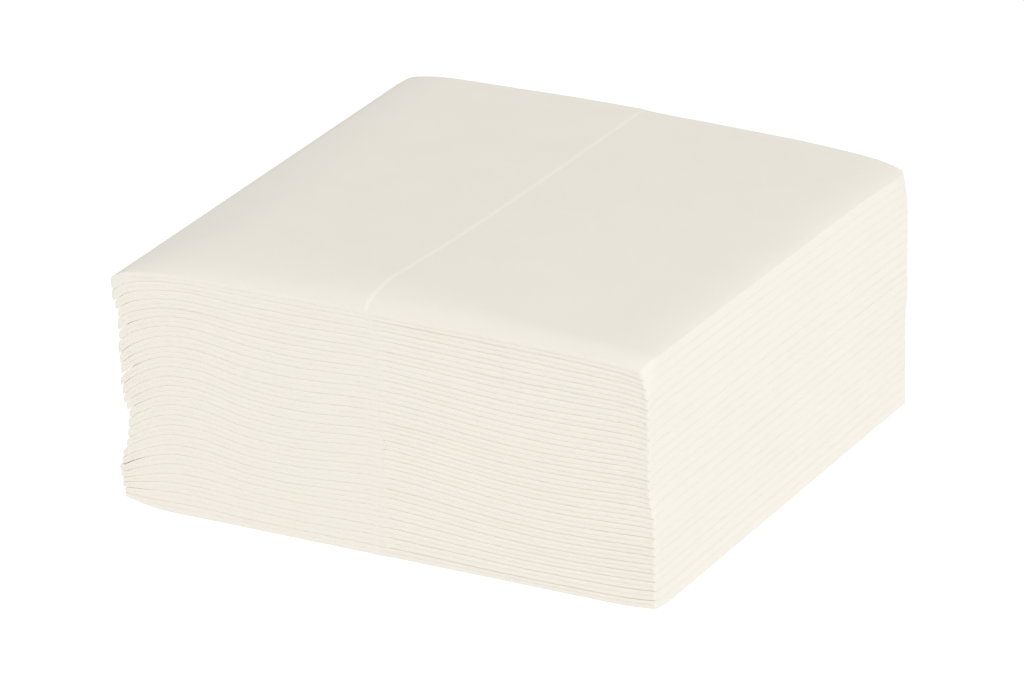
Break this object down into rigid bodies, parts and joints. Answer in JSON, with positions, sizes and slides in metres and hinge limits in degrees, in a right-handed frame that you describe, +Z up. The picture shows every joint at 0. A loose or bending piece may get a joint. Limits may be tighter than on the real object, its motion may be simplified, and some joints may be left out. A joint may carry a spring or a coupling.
{
  "type": "stack of z-fold paper towels",
  "caption": "Square stack of soft off-white paper towels, each z-folded into half, full and half panels and laid loosely one on another, with a centre line on top.",
  "frame": {"origin": "middle of the base, on the surface that the stack rests on", "axes": "+X across the folds, from the left folds to the right folds; +Y along the folds, from the front cut ends to the back ones; +Z up"},
  "size_m": [0.12, 0.1152, 0.0549],
  "materials": {
    "towel_paper": "matte"
  },
  "bodies": {
    "root": {"towel_01": "towel_paper", "towel_02": "towel_paper", "towel_03": "towel_paper", "towel_04": "towel_paper", "towel_05": "towel_paper", "towel_06": "towel_paper", "towel_07": "towel_paper", "towel_08": "towel_paper", "towel_09": "towel_paper", "towel_10": "towel_paper", "towel_11": "towel_paper", "towel_12": "towel_paper", "towel_13": "towel_paper", "towel_14": "towel_paper", "towel_15": "towel_paper", "towel_16": "towel_paper", "towel_17": "towel_paper", "towel_18": "towel_paper", "towel_19": "towel_paper", "towel_20": "towel_paper", "towel_21": "towel_paper", "towel_22": "towel_paper", "towel_23": "towel_paper", "towel_24": "towel_paper", "towel_25": "towel_paper"}
  },
  "joints": []
}
